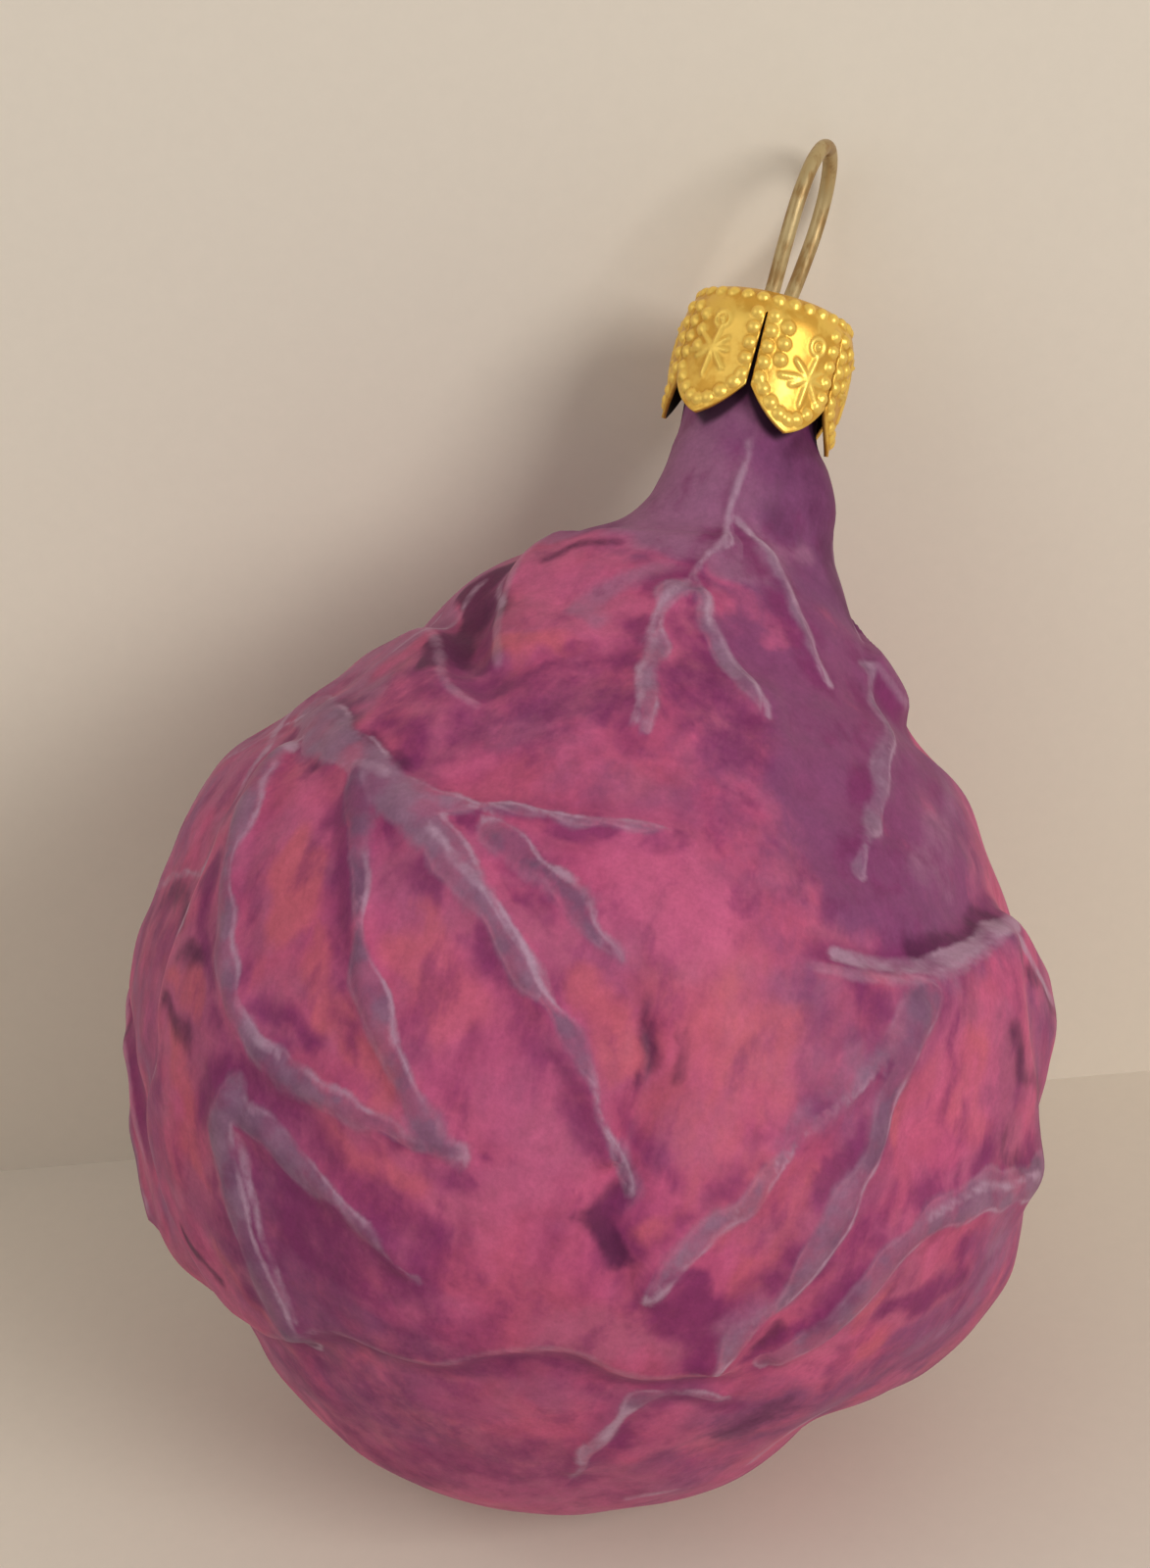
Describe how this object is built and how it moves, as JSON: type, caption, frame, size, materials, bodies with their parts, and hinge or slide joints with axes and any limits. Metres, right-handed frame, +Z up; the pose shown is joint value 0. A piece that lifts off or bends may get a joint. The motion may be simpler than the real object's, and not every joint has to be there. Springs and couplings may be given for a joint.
{
  "type": "hanging glass cabbage ornament",
  "caption": "Hollow blown-glass ornament shaped as a red cabbage head with veined leaves, a narrow neck, a petalled gold crown cap and a spring-wire hanging loop.",
  "frame": {"origin": "inner top of the wire loop, where the ornament hangs", "axes": "+Z up along the hanging ornament, -Y towards the painted front that the picture shows, +X to its right"},
  "size_m": [0.0622, 0.0635, 0.0946],
  "materials": {
    "painted_glass": "matt rose and purple paint with grey-lilac veins",
    "gold_metal": "bright gold, stamped with beads and stars",
    "bronze_wire": "dull and tarnished"
  },
  "bodies": {
    "root": {"glass_head": "painted_glass", "crown_cap": "gold_metal", "wire_hanger": "bronze_wire"}
  },
  "joints": []
}
